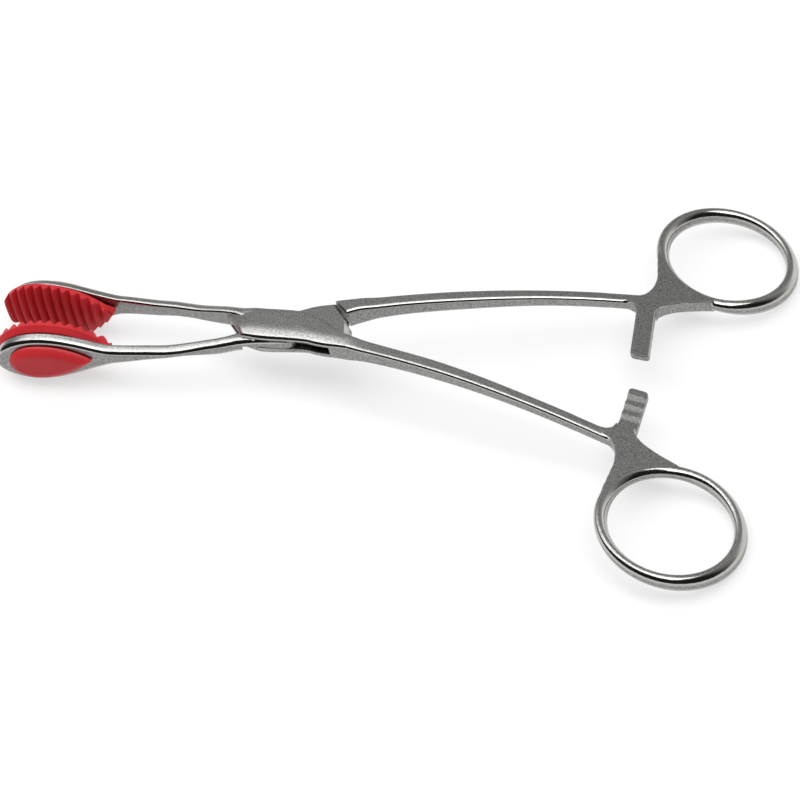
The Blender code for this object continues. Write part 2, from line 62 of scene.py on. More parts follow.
# The jaws and their soft pads
JAW_REACH = 68.8
JAW_LENGTH = 27.0
JAW_STAGGER = 1.25
JAW_DROP = 0.6
JAW_NOSE = 10.0
JAW_WIDTH = 12.4
JAW_THICKNESS = 2.3
JAW_EDGE_RADIUS = 1.25
WINDOW_RIM = 2.3
WINDOW_NOSE = 1.75
WINDOW_TAIL = 2.1
PAD_GAP = 0.3
PAD_OVERHANG = 1.2
PAD_NOSE_OVERHANG = 0.55
PAD_TAIL = 1.0
PAD_FLANGE = 2.3
PAD_CROWN = 1.1
PAD_CHAMFER = 0.1
PAD_BEVEL = 1.0
PAD_SEAT = 0.2
RIB_HEIGHT = 1.45
RIB_PITCH = 2.15
BUTTON_OVERLAP = 0.65
BUTTON_HEIGHT = 1.75
BUTTON_SHOULDER = 2.0

# The shanks and the handles
NECK_WIDTH = 4.5
SHANK_WIDTH = 3.4
SHANK_THICKNESS = 2.7
SHANK_BOW = 5.1
SHANK_BACK_OFFSET = 2.85
HANDLE_THICKNESS = 2.75
HANDLE_START = 18.0
HANDLE_START_OFFSET = 5.8
HANDLE_START_THICKNESS = 3.4
HANDLE_END = 72.5
HANDLE_END_OFFSET = 16.1
DROP_START = 9.5
DROP_END = 66.0
DROP_SLOPE = 0.332
HANDLE_EDGE_RADIUS = 0.75

# The finger rings
RING_FORWARD = 15.5
RING_ASIDE = 18.05
RING_HALF_LENGTH = 13.6
RING_HALF_WIDTH = 14.4
RING_BAR = 2.65
RING_DEPTH = 3.75
RING_X = HANDLE_END + RING_FORWARD
RING_Y = HANDLE_END_OFFSET + RING_ASIDE
RING_END_ANGLE = math.radians(247.0)
RING_WEB_ANGLE = 232.0

# The webs and the ratchet bars
WEB_START = 64.0
WEB_THICKNESS = 2.85
BAR_FORWARD = 1.15
BAR_STAGGER = 0.65
BAR_WIDTH = 3.9
BAR_TIP = 0.45
BAR_TIP_STAGGER = 1.05
BAR_CLEARANCE = 0.12
BAR_CORNER = 0.8
TOOTH_COUNT = 3
TOOTH_PITCH = 2.9
TOOTH_DEPTH = 0.27
TOOTH_MARGIN = 1.1
HEEL = 2.6

# How finely the forms are divided, and how far a cutting tool reaches past what it cuts
VOXEL = 0.2
VOXEL_SMOOTHING = 5
FLAT_STEPS = 8
PIN_STEPS = 64
SMOOTH_ANGLE = math.radians(38.0)
OVERRUN = 2.0

# How far the jaws' and shanks' edges fall away outwards for each millimetre, and the lock's low edge
JAW_SLANT = 0.18
SHANK_SLANT = 0.14
SOFT_REACH = 2.7
SOFT_DROP = 0.52

# Distances across the jaw from the plane where the pads meet, and places along the arm
PAD_FACE = PAD_GAP / 2
RIB_ROOT = PAD_FACE + RIB_HEIGHT
PAD_BACK = RIB_ROOT + PAD_FLANGE
JAW_INSIDE = PAD_BACK + PAD_SEAT
JAW_OUTSIDE = JAW_INSIDE + JAW_THICKNESS
JAW_TIP = -JAW_REACH
JAW_TAIL = JAW_LENGTH - JAW_NOSE
NECK = JAW_TIP + JAW_LENGTH

# The floor's height under the jaws and under the rings, which the instrument rests on
FLOOR_REACH = 3.0
FLOOR_JAWS = (-0.06, -0.0093)
FLOOR_RINGS = (0.099, -0.0256)
FLOOR_GLOW = 0.62

# The photograph's camera: the focal length in pixels, the turn and the shift of the frame in metres
IMAGE_WIDTH = 800
SENSOR_WIDTH = 36.0
FOCAL_PIXELS = 3124.9
CAMERA_TURN = (
    (0.956037, 0.215819, -0.198534),
    (0.012048, -0.705358, -0.708749),
    (-0.292999, 0.675198, -0.676948),
)
CAMERA_SHIFT = (-0.02197, -0.01479, 0.67094)
CAMERA_LIFT = -0.00078


def add_object(name, mesh):
    made = bpy.data.objects.new(name, mesh)
    bpy.context.scene.collection.objects.link(made)
    return made


def mesh_object(name, body):
    bmesh.ops.recalc_face_normals(body, faces=body.faces)
    mesh = bpy.data.meshes.new(name)
    body.to_mesh(mesh)
    body.free()
    return add_object(name, mesh)


def loft(name, rings, closed=False):
    """A body through rings of equally many points, capped at both ends or joined end to end."""
    body = bmesh.new()
    rows = [[body.verts.new(point) for point in ring] for ring in rings]
    count = len(rows[0])
    pairs = list(zip(rows, rows[1:]))
    if closed:
        pairs.append((rows[-1], rows[0]))
    for near, far in pairs:
        for i in range(count):
            j = (i + 1) % count
            body.faces.new((near[i], near[j], far[j], far[i]))
    if not closed:
        body.faces.new(rows[0])
        body.faces.new(rows[-1])
    return mesh_object(name, body)


def bake(target):
    graph = bpy.context.evaluated_depsgraph_get()
    shaped = bpy.data.meshes.new_from_object(target.evaluated_get(graph))
    target.modifiers.clear()
    target.data = shaped


def combine(target, tools, operation, solver="EXACT"):
    for tool in tools:
        step = target.modifiers.new("combine", "BOOLEAN")
        step.operation = operation
        step.solver = solver
        step.object = tool
        bake(target)
        bpy.data.objects.remove(tool)


def remesh(target, voxel, smoothing):
    step = target.modifiers.new("remesh", "REMESH")
    step.mode = "VOXEL"
    step.voxel_size = voxel
    bake(target)
    if smoothing:
        step = target.modifiers.new("smooth", "SMOOTH")
        step.factor = 0.5
        step.iterations = smoothing
        bake(target)


def smooth_value(stations, x):
    if x <= stations[0][0]:
        return stations[0][1]
    if x >= stations[-1][0]:
        return stations[-1][1]
    last = len(stations) - 1
    i = max(k for k in range(last) if stations[k][0] <= x)

    def slope(k):
        low = stations[max(k - 1, 0)]
        high = stations[min(k + 1, last)]
        return (high[1] - low[1]) / (high[0] - low[0])

    (x0, y0), (x1, y1) = stations[i], stations[i + 1]
    span = x1 - x0
    t = (x - x0) / span
    rise = y1 - y0
    near = slope(i) * span
    far = slope(i + 1) * span
    return y0 + near * t + (3 * rise - 2 * near - far) * t**2 + (near + far - 2 * rise) * t**3


def rounded_section(x, y_low, y_high, half_width, low_radius, high_radius, steps=8):
    most = 0.98 * min(half_width, (y_high - y_low) / 2)
    corners = (
        (y_high, half_width, min(high_radius, most), 0.0),
        (y_low, half_width, min(low_radius, most), 90.0),
        (y_low, -half_width, min(low_radius, most), 180.0),
        (y_high, -half_width, min(high_radius, most), 270.0),
    )
    ring = []
    for y, z, radius, start in corners:
        centre_y = y - math.copysign(radius, y - (y_low + y_high) / 2)
        centre_z = z - math.copysign(radius, z)
        corner = []
        for k in range(steps + 1):
            angle = math.radians(start + 90.0 * k / steps)
            corner_y = centre_y + radius * math.cos(angle)
            corner_z = centre_z + radius * math.sin(angle)
            corner.append(Vector((x, corner_y, corner_z)))
        if start in (90.0, 270.0):
            ring += [ring[-1].lerp(corner[0], k / FLAT_STEPS) for k in range(1, FLAT_STEPS)]
        ring += corner
    return ring


def fall_away(ring, low, half_width, soft):
    """Lets the lock's front fall away towards its low edge, and the jaw's and shank's edges outwards."""
    slants = ((NECK, JAW_SLANT), (NECK + 8, SHANK_SLANT), (-18.0, SHANK_SLANT), (-10.0, 0.0))
    for p in ring:
        drop = smooth_value(slants, p.x) * (p.y - low)
        into = min(max((p.x + LOCK_REACH + 2) / 3.0, 0.0), 1.0)
        out = min(max((HANDLE_START + 1 - p.x) / 9.0, 0.0), 1.0)
        reach = max(0.0, (low + SOFT_REACH - p.y) / SOFT_REACH)
        if p.z > 0:
            drop += soft * SOFT_DROP * reach**1.4 * into * out
        p.z *= max(0.2, 1 - drop / half_width)
    return ring


def teardrop(nose, tail, half_width, tail_half_width, steps=40):
    sag = half_width - tail_half_width
    radius = (tail**2 + sag**2) / (2 * sag)
    points = []
    for k in range(steps + 1):
        angle = math.pi / 2 * k / steps
        points.append((nose * (1 - math.cos(angle)), half_width * math.sin(angle)))
    for k in range(1, steps + 1):
        along = tail * k / steps
        points.append((nose + along, half_width - radius + math.sqrt(radius**2 - along**2)))
    return points


def leaf_ring(start_x, inset, y, nose, tail, half_width):
    points = teardrop(nose - inset, tail - 1.5 * inset, half_width - inset, 0.0)
    upper = [Vector((start_x + inset + along, y, width)) for along, width in points]
    lower = [Vector((p.x, y, -p.z)) for p in reversed(upper[1:-1])]
    return upper + lower


def front_half_width(x):
    from_tip = x - JAW_TIP
    outline = teardrop(JAW_NOSE, JAW_TAIL, JAW_WIDTH / 2, NECK_WIDTH / 2, 40)
    if from_tip <= JAW_NOSE:
        return JAW_WIDTH / 2 * math.sqrt(max(0.0, 1 - (1 - from_tip / JAW_NOSE) ** 2))
    flank = (from_tip - JAW_NOSE) / (JAW_LENGTH - JAW_NOSE)
    if flank < 1.0:
        ease = math.cos(math.pi / 2 * flank) ** 1.35
        return NECK_WIDTH / 2 + (outline[40][1] - NECK_WIDTH / 2) * ease
    shank = -LOCK_REACH - NECK
    stations = (
        (NECK, NECK_WIDTH / 2),
        (NECK + 0.3 * shank, SHANK_WIDTH / 2 + 0.15),
        (NECK + 0.55 * shank, SHANK_WIDTH / 2),
        (NECK + 0.8 * shank, LOCK_THICKNESS / 2 - 0.1),
        (-LOCK_REACH, LOCK_THICKNESS / 2),
    )
    return smooth_value(stations, x)


def arm_stations():
    jaw_middle = (JAW_INSIDE + JAW_OUTSIDE) / 2
    behind = -LOCK_REACH - 3
    shank = behind - NECK
    run = HANDLE_END - HANDLE_START
    rise = HANDLE_END_OFFSET - HANDLE_START_OFFSET
    middles = [
        (JAW_TIP, jaw_middle),
        (NECK - 8, jaw_middle),
        (NECK, jaw_middle + 0.25),
        (NECK + 0.3 * shank, SHANK_BOW),
        (NECK + 0.5 * shank, SHANK_BOW - 0.15),
        (NECK + 0.77 * shank, SHANK_BOW - 1.15),
        (behind, SHANK_BACK_OFFSET + 0.15),
        (-0.8 * LOCK_REACH, 1.7),
        (0.0, 0.0),
        (0.24 * LOCK_REACH, -1.2),
        (0.58 * LOCK_REACH, -2.75),
        (LOCK_REACH, -4.5),
        (HANDLE_START, -HANDLE_START_OFFSET),
        (HANDLE_START + run / 3, -HANDLE_START_OFFSET - rise * 0.31),
        (HANDLE_START + 2 * run / 3, -HANDLE_START_OFFSET - rise * 0.66),
        (HANDLE_END, -HANDLE_END_OFFSET),
    ]
    halves = [
        (JAW_TIP, JAW_THICKNESS / 2),
        (NECK - 8, JAW_THICKNESS / 2),
        (NECK + shank / 2, SHANK_THICKNESS / 2),
        (behind, 1.4),
        (-0.8 * LOCK_REACH, 2.2),
        (0.0, LOCK_HALF_WIDTH),
        (0.24 * LOCK_REACH, LOCK_HALF_WIDTH + 0.2),
        (0.58 * LOCK_REACH, LOCK_HALF_WIDTH - 0.3),
        (LOCK_REACH, 2.1),
        (HANDLE_START, HANDLE_START_THICKNESS / 2),
        (HANDLE_START + run / 3, (HANDLE_THICKNESS + 0.4) / 2),
        (HANDLE_START + 2 * run / 3, HANDLE_THICKNESS / 2),
        (HANDLE_END, HANDLE_THICKNESS / 2),
    ]
    return middles, halves


def back_half_width(x):
    run = HANDLE_END - HANDLE_START
    stations = (
        (-LOCK_REACH, LOCK_THICKNESS / 2),
        (LOCK_REACH + 1, LOCK_THICKNESS / 2),
        (HANDLE_START, HANDLE_START_THICKNESS / 2 + 0.15),
        (HANDLE_START + run / 3, (HANDLE_THICKNESS + 0.4) / 2),
        (HANDLE_START + 2 * run / 3, HANDLE_THICKNESS / 2),
        (HANDLE_END, HANDLE_THICKNESS / 2),
    )
    return smooth_value(stations, x)


def corner_radii(x):
    shared = ((0.0, LOCK_EDGE_RADIUS), (HANDLE_START, HANDLE_EDGE_RADIUS))
    inner = ((NECK - 6, 0.35), (NECK + 4, 0.8), (-LOCK_REACH, 1.0)) + shared
    outer = ((NECK, JAW_EDGE_RADIUS), (NECK + 10, 1.45), (-LOCK_REACH, 1.45)) + shared
    return smooth_value(inner, x), smooth_value(outer, x)


def nose_depth(x):
    from_tip = x - JAW_TIP
    if from_tip >= JAW_EDGE_RADIUS:
        return 0.0
    return JAW_EDGE_RADIUS - math.sqrt(JAW_EDGE_RADIUS**2 - (JAW_EDGE_RADIUS - from_tip) ** 2)


def cross_levels(x, width):
    """The cross arm's reach to the front and to the back. Its shank comes out low from the box."""
    front = (
        (NECK, 0.0),
        (-32.0, 0.5),
        (-25.0, 0.6),
        (-21.0, 0.95),
        (-17.0, 1.45),
        (-12.0, 1.5),
        (0.0, 0.7),
        (9.0, 0.0),
    )
    back = ((-25.0, 0.0), (-21.0, 0.3), (-17.0, 0.65), (-12.5, 0.45), (-10.5, 0.0))
    return width - smooth_value(front, x), width + smooth_value(back, x)


def shaft_ring(x, scale=1.0, facing=1):
    """One section of the jaw, shank, lock strip or handle, drawn in towards its middle by the scale."""
    middles, halves = arm_stations()
    middle = smooth_value(middles, x)
    half = smooth_value(halves, x)
    width = front_half_width(x) if x < -LOCK_REACH else back_half_width(x)
    inner, outer = corner_radii(x)
    front, back = (width, width) if facing == 1 else cross_levels(x, width)
    width = (front + back) / 2
    high = middle + half - nose_depth(x)
    if facing == -1:
        # The cross arm's side swells inside the box, where it fills the slot.
        swell = ((-13.0, 0.0), (-8.0, 0.6), (-3.0, 1.4), (-0.5, 1.4), (1.2, 0.0))
        high += smooth_value(swell, x)
    ring = rounded_section(x, middle - half, high, width, inner, outer)
    fall_away(ring, middle - half, width, max(0, facing))
    for p in ring:
        p.z += (front - back) / 2
    return [Vector((x, middle + scale * (p.y - middle), scale * p.z)) for p in ring]


def front_shaft(name, facing):
    """The jaw plate and shank. It ends inside the lock, where the handle's sweep takes over."""
    places = [JAW_TIP + JAW_NOSE * (1 - math.cos(math.pi / 2 * k / 24)) for k in range(1, 25)]
    places.insert(0, JAW_TIP + JAW_NOSE * 0.0008)
    places += [JAW_TIP + JAW_NOSE + (JAW_LENGTH - JAW_NOSE) * k / 40 for k in range(1, 41)]
    places += [NECK - NECK * k / 64 for k in range(1, 65)]
    rings = [shaft_ring(x, 1.0, facing) for x in places]
    return loft(name, rings + [shaft_ring(0.8, 0.96, facing)])


def handle_shaft(name, facing):
    """The handle from inside the lock to where the web begins. It sinks into the ring's part there."""
    places = [WEB_START * k / 80 for k in range(81)]
    rings = [shaft_ring(-0.8, 0.96, facing)] + [shaft_ring(x, 1.0, facing) for x in places]
    return loft(name, rings + [shaft_ring(WEB_START + 1.5, 0.96)])


def handle_tail(name):
    """The last stretch of the handle, which the web and the finger ring grow out of."""
    start = WEB_START - 4
    places = [start + 0.5 + (HANDLE_END - start - 0.5) * k / 16 for k in range(17)]
    rings = [shaft_ring(start, 0.9)] + [shaft_ring(x, 0.985) for x in places]
    return loft(name, rings + handle_end_rings())


def handle_end_rings():
    end = Vector((
        RING_X + RING_HALF_LENGTH * math.cos(RING_END_ANGLE),
        -RING_Y - RING_HALF_WIDTH * math.sin(RING_END_ANGLE),
    ))
    start = Vector((HANDLE_END, -HANDLE_END_OFFSET))
    slope = (HANDLE_END_OFFSET - HANDLE_START_OFFSET) / (HANDLE_END - HANDLE_START)
    control = start + Vector((1.0, -slope)) * (end.x - start.x) * 0.6
    rings = []
    for k in range(1, 13):
        t = k / 12
        place = start * (1 - t) ** 2 + control * 2 * t * (1 - t) + end * t**2
        half = (HANDLE_THICKNESS / 2) * (1 - t) + (RING_BAR / 2) * t
        radius = HANDLE_EDGE_RADIUS * (1 + 0.5 * t)
        low = place.y - half
        high = place.y + half
        rings.append(rounded_section(place.x, low, high, HANDLE_THICKNESS / 2, radius, radius))
    return rings


def finger_ring(name):
    """The finger ring. Its bar is flatter beside the web, so that the web's faces run on over it."""
    rows = []
    flat_depth = WEB_THICKNESS + 0.05
    for i in range(144):
        around = 2 * math.pi * i / 144
        across_x = math.cos(around)
        across_y = -math.sin(around)
        middle = Vector((RING_X + RING_HALF_LENGTH * across_x, -RING_Y + RING_HALF_WIDTH * across_y, 0))
        outward = Vector((across_x / RING_HALF_LENGTH, across_y / RING_HALF_WIDTH, 0)).normalized()
        from_web = abs((math.degrees(around) - RING_WEB_ANGLE + 180.0) % 360.0 - 180.0)
        ease = min(max((from_web - 25.0) / 45.0, 0.0), 1.0)
        ease = ease**2 * (3 - 2 * ease)
        depth = flat_depth + (RING_DEPTH - flat_depth) * ease
        row = []
        for k in range(32):
            turn = 2 * math.pi * k / 32
            across = outward * math.cos(turn) * RING_BAR / 2
            row.append(middle + across + Vector((0, 0, math.sin(turn) * depth / 2)))
        rows.append(row)
    return loft(name, rows, closed=True)


def bend_points(start, control, end, steps):
    points = []
    for k in range(steps + 1):
        t = k / steps
        points.append(start * (1 - t) ** 2 + control * 2 * t * (1 - t) + end * t**2)
    return points


def ring_point(degrees, outward=0.0):
    around = math.radians(degrees)
    reach_x = RING_HALF_LENGTH + outward
    reach_y = RING_HALF_WIDTH + outward
    return Vector((RING_X + reach_x * math.cos(around), -RING_Y - reach_y * math.sin(around)))


def bar_middle(facing):
    return HANDLE_END + BAR_FORWARD + facing * BAR_STAGGER


def bar_tip(facing):
    return BAR_TIP - facing * BAR_TIP_STAGGER


def web_outline(facing):
    """The flat web between handle, ring and ratchet bar, with the bar itself."""
    slope = (HANDLE_END_OFFSET - HANDLE_START_OFFSET) / (HANDLE_END - HANDLE_START)
    right = bar_middle(facing) + BAR_WIDTH / 2
    left = bar_middle(facing) - BAR_WIDTH / 2

    def handle_edge(x, offset):
        return Vector((x, -HANDLE_END_OFFSET - slope * (x - HANDLE_END) + offset))

    corner_x = RING_X - RING_HALF_LENGTH - 0.1
    outer_start = handle_edge(corner_x - 3.4, -0.7)
    outer_end = Vector((corner_x, -RING_Y + 0.72 * RING_HALF_WIDTH))
    outer = bend_points(outer_start, Vector((corner_x, outer_start.y - 1.6)), outer_end, 14)
    outer.append(ring_point(190.0, RING_BAR / 2 - 0.3))
    along_ring = [ring_point(200.0 + 6.0 * k, -0.5) for k in range(10)]
    inner_start = ring_point(264.0, 0.9)
    root = handle_edge(right, HANDLE_THICKNESS / 2 + HEEL)
    inner = bend_points(inner_start, handle_edge(right + 0.5, 0.7), root, 16)
    bar = []
    for side, start in ((1, 0.0), (-1, 90.0)):
        centre_x = bar_middle(facing) + side * (BAR_WIDTH / 2 - BAR_CORNER)
        centre = Vector((centre_x, bar_tip(facing) - BAR_CORNER))
        for k in range(7):
            angle = math.radians(start + 15.0 * k)
            bar.append(centre + BAR_CORNER * Vector((math.cos(angle), math.sin(angle))))
    heel = handle_edge(left, HANDLE_THICKNESS / 2 + HEEL)
    toe = handle_edge(left - 3.0, 0.9)
    heel_bend = bend_points(heel, handle_edge(left, 0.5 * HANDLE_THICKNESS), toe, 10)
    return outer + along_ring + inner + bar + heel_bend


def flat_plate(name, outline, low, high):
    return loft(name, [[Vector((p.x, p.y, z)) for p in outline] for z in (low, high)])


def tooth_cutter(name, facing):
    """Takes away the half of the bar that the other arm's bar passes through, and leaves its teeth."""
    tip = bar_tip(facing)
    crest = BAR_CLEARANCE
    valley = crest + TOOTH_DEPTH
    root = -HANDLE_END_OFFSET + HANDLE_THICKNESS / 2 + HEEL
    profile = [Vector((tip + OVERRUN, -OVERRUN)), Vector((tip + OVERRUN, crest))]
    for k in range(TOOTH_COUNT):
        tooth = tip - TOOTH_MARGIN - TOOTH_PITCH * (k + 1)
        profile.append(Vector((tooth + TOOTH_PITCH * 0.8, crest)))
        profile.append(Vector((tooth + TOOTH_PITCH * 0.3, valley)))
        profile.append(Vector((tooth + TOOTH_DEPTH * 0.35, valley)))
        profile.append(Vector((tooth, crest)))
    profile += [Vector((root, crest)), Vector((root - 0.6, -OVERRUN))]
    middle = bar_middle(facing)
    half = BAR_WIDTH / 2 + 1.0
    sides = (middle - half, middle + half)
    return loft(name, [[Vector((x, p.x, -facing * p.y)) for p in profile] for x in sides])


def cylinder(name, radius, half):
    angles = [2 * math.pi * k / PIN_STEPS for k in range(PIN_STEPS)]
    rings = []
    for z in (-half, half):
        rings.append([Vector((radius * math.cos(a), radius * math.sin(a), z)) for a in angles])
    return loft(name, rings)


def slab(name, low, high):
    corners = ((low[0], low[1]), (high[0], low[1]), (high[0], high[1]), (low[0], high[1]))
    return flat_plate(name, [Vector(corner) for corner in corners], low[2], high[2])


def jaw_window(name):
    return loft(name, [window_leaf(0.0, y) for y in (0.0, JAW_OUTSIDE + OVERRUN)])


def mirror_across(body):
    body.data.transform(Matrix.Diagonal((1.0, -1.0, 1.0, 1.0)))
    body.data.flip_normals()


def plain_arm(name, facing):
    arm = handle_tail(name)
    web = flat_plate("web", web_outline(facing), -WEB_THICKNESS / 2, WEB_THICKNESS / 2)
    combine(arm, [finger_ring("ring"), web], "UNION")
    remesh(arm, VOXEL, VOXEL_SMOOTHING)
    combine(arm, [tooth_cutter("teeth", facing)], "DIFFERENCE")
    front = front_shaft("front", facing)
    combine(front, [jaw_window("window")], "DIFFERENCE")
    combine(arm, [handle_shaft("handle", facing), front], "UNION")
    return arm


def drop(x):
    curve = DROP_SLOPE / (2 * (DROP_END - DROP_START))
    bent = min(max(x - DROP_START, 0.0), DROP_END - DROP_START)
    return curve * bent**2 + DROP_SLOPE * max(x - DROP_END, 0.0)


def set_jaw(body, stagger):
    start = -LOCK_REACH - 3
    for vertex in body.data.vertices:
        share = min(max((start - vertex.co.x) / (start - NECK), 0.0), 1.0)
        bend = min(max(-vertex.co.x / LOCK_REACH - 1.0, 0.0), 1.0)
        vertex.co.x -= stagger * share
        vertex.co.z -= JAW_DROP * bend**2 * (3 - 2 * bend)


def bend_handles(arm):
    for vertex in arm.data.vertices:
        vertex.co.z -= drop(vertex.co.x)


def wall_outline(grow):
    far = 2 * LOCK_REACH
    edges = (
        (-math.pi / 2, far),
        (WALL_CROTCH_ANGLE, WALL_CROTCH + grow),
        (WALL_END_ANGLE, WALL_FRONT + grow),
        (math.pi / 2, far),
        (math.pi + WALL_END_ANGLE, WALL_BACK + grow),
    )
    corners = []
    for i, (angle, reach) in enumerate(edges):
        last_angle, last_reach = edges[i - 1]
        cross = math.sin(angle - last_angle)
        x = (last_reach * math.sin(angle) - reach * math.sin(last_angle)) / cross
        y = (reach * math.cos(last_angle) - last_reach * math.cos(angle)) / cross
        corners.append(Vector((x, y)))
    return corners


def wall_block(name):
    """The region of the lock's walls, with a broad bevel at the end next to the handles."""
    half = LOCK_THICKNESS / 2
    rings = []
    for z, grow in ((-half - OVERRUN, -WALL_BEVEL - OVERRUN), (-half + WALL_BEVEL, 0.0),
                    (half - WALL_BEVEL, 0.0), (half + OVERRUN, -WALL_BEVEL - OVERRUN)):
        rings.append([Vector((p.x, p.y, z)) for p in wall_outline(grow)])
    return loft(name, rings)


def pin_hole(name):
    return cylinder(name, PIN_RADIUS + PIN_CLEARANCE, LOCK_THICKNESS)


def lock_cheeks(name):
    """The lock's broad walls before their ends are cut. They stand a hair proud of both arms."""
    middles, halves = arm_stations()
    low_edge = ((-LOCK_REACH, -4.5), (0.25 * LOCK_REACH, -5.3), (LOCK_REACH, -6.6))
    back = -1.65 * LOCK_REACH
    front = LOCK_REACH + OVERRUN
    lean_stations = ((-10.5, 0.0), (-6.5, 1.0), (3.0, 0.0))
    rings = []
    for k in range(101):
        x = back + (front - back) * k / 100
        middle = smooth_value(middles, x)
        half = smooth_value(halves, x)
        high = max(middle + half, half - middle) + LOCK_COVER
        low = min(smooth_value(low_edge, x), middle - half) - LOCK_COVER
        width = LOCK_THICKNESS / 2 + LOCK_COVER
        ring = rounded_section(x, low, high, width, 0.8 * LOCK_EDGE_RADIUS, LOCK_EDGE_RADIUS, 12)
        fall_away(ring, low, width, 1.0)
        # The side leans out towards the back at the jaws' end of the lock.
        lean = smooth_value(lean_stations, x)
        for p in ring:
            lower = min(max((middle - p.y) / (middle - low), 0.0), 1.0)
            p.y -= lean * lower * (width - p.z) / (2 * width)
        rings.append(ring)
    return loft(name, rings)


def box_arm():
    arm = plain_arm("fine_box_arm", 1)
    cheeks = lock_cheeks("cheeks")
    combine(cheeks, [wall_block("walls")], "INTERSECT")
    combine(arm, [cheeks], "UNION")
    half = WAIST_THICKNESS / 2 + WAIST_CLEARANCE
    wide = 2 * LOCK_REACH
    slot = slab("slot", (-SLOT_REACH, -wide, -half), (SLOT_REACH, wide, half))
    right = slab("right_wing", (SLOT_REACH - OVERRUN, 0.0, -half), (LOCK_REACH + OVERRUN, wide, half))
    left = slab("left_wing", (-1.5 * LOCK_REACH, -wide, -half), (-SLOT_REACH + OVERRUN, 0.95, half))
    combine(slot, [right, left], "UNION")
    combine(arm, [slot, pin_hole("hole")], "DIFFERENCE")
    set_jaw(arm, JAW_STAGGER)
    bend_handles(arm)
    return arm


def cross_arm():
    arm = plain_arm("fine_cross_arm", -1)
    mirror_across(arm)
    thin = WAIST_THICKNESS / 2
    pocket = wall_outline(SHOULDER_CLEARANCE)
    for low, high in ((thin, LOCK_THICKNESS), (-LOCK_THICKNESS, -thin)):
        combine(arm, [flat_plate("pocket", pocket, low, high)], "DIFFERENCE")
    combine(arm, [pin_hole("hole")], "DIFFERENCE")
    set_jaw(arm, -JAW_STAGGER)
    bend_handles(arm)
    return arm


def lock_pin():
    """The rivet. It fills its hole, as the ground-off rivet in the photograph does."""
    return cylinder("fine_lock_pin", PIN_RADIUS + PIN_CLEARANCE, LOCK_THICKNESS / 2)


def window_leaf(inset, y):
    start = JAW_TIP + WINDOW_NOSE
    tail = JAW_TAIL - WINDOW_TAIL
    return leaf_ring(start, WINDOW_RIM + inset, y, JAW_NOSE - WINDOW_NOSE, tail, JAW_WIDTH / 2)


def pad_half_width(along):
    nose = JAW_NOSE + PAD_NOSE_OVERHANG
    tail = JAW_TAIL - PAD_TAIL
    half = JAW_WIDTH / 2 + PAD_OVERHANG
    if along < nose:
        return half * math.sqrt(max(0.0, 1 - (1 - along / nose) ** 2))
    radius = (tail**2 + half**2) / (2 * half)
    return half - radius + math.sqrt(radius**2 - (along - nose) ** 2)


def pad_places():
    length = JAW_LENGTH + PAD_NOSE_OVERHANG - PAD_TAIL
    step = RIB_PITCH / 16
    places = [step * k for k in range(1, int(length / step))]
    places += [step * part for part in (0.02, 0.1, 0.25, 0.5, 0.75)]
    return sorted(places)


def pad_section(along):
    half = pad_half_width(along)
    nose = JAW_NOSE + PAD_NOSE_OVERHANG
    length = JAW_LENGTH + PAD_NOSE_OVERHANG - PAD_TAIL
    valley = 1 - math.sin(math.pi * ((along / RIB_PITCH) % 1.0)) ** 1.5
    end = max(0.0, 1 - along / nose, 1 - (length - along) / (0.6 * nose))
    front = []
    count = 36
    for k in range(count + 1):
        share = math.sin(math.pi * (k / count - 0.5))
        edge = min(1.0, math.sqrt(share**2 * (1 - end**2) + end**2))
        depth = PAD_CROWN * edge**2.4 + RIB_HEIGHT * valley * (1 - 0.2 * edge)
        depth += PAD_CHAMFER * max(0.0, edge - 0.96) / 0.04
        front.append(Vector((0.0, PAD_FACE + depth, share * half)))
    seat = max(0.5 * half, half - PAD_OVERHANG)
    back = [
        Vector((0.0, PAD_BACK - PAD_BEVEL, half)),
        Vector((0.0, PAD_BACK, seat)),
        Vector((0.0, PAD_BACK, -seat)),
        Vector((0.0, PAD_BACK - PAD_BEVEL, -half)),
    ]
    place = Vector((JAW_TIP - PAD_NOSE_OVERHANG + along, 0.0, 0.0))
    return [place + point for point in front + back]


def jaw_pad(name):
    under = JAW_OUTSIDE + PAD_SEAT
    rings = [
        window_leaf(PAD_SEAT, PAD_BACK - 0.4 * PAD_FLANGE),
        window_leaf(PAD_SEAT, under),
        window_leaf(-BUTTON_OVERLAP + 0.15, under),
        window_leaf(-BUTTON_OVERLAP, under + 0.1 * BUTTON_HEIGHT),
        window_leaf(-BUTTON_OVERLAP + 0.1, under + 0.3 * BUTTON_HEIGHT),
    ]
    for k in range(1, 13):
        t = k / 12
        rise = 0.3 + 0.7 * (1 - (1 - t) ** 1.4)
        inset = -BUTTON_OVERLAP + 0.1 + (BUTTON_SHOULDER - 0.1) * t**1.15
        rings.append(window_leaf(inset, under + rise * BUTTON_HEIGHT))
    pad = loft(name, [pad_section(along) for along in pad_places()])
    combine(pad, [loft("button", rings)], "UNION")
    return pad


def place(piece, angle, body, node, paint):
    """Turns a piece from the closed pose to its place in the frame, and lets it stand for its node."""
    move = Matrix.Translation((0.0, 0.0, -LOCK_THICKNESS / 2)) @ Matrix.Rotation(angle, 4, "Z")
    piece.data.transform(Matrix.Scale(0.001, 4) @ move)
    piece.data.materials.clear()
    piece.data.materials.append(paint)
    piece.data.shade_smooth()
    piece.data.set_sharp_from_angle(angle=SMOOTH_ANGLE)
    even = piece.modifiers.new("even", "WEIGHTED_NORMAL")
    even.keep_sharp = True
    bake(piece)
    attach(piece, body)
    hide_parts(node)


def node_tree(name):
    made = bpy.data.materials.new(name)
    made.use_nodes = True
    tree = made.node_tree
    return made, tree, tree.nodes["Principled BSDF"]


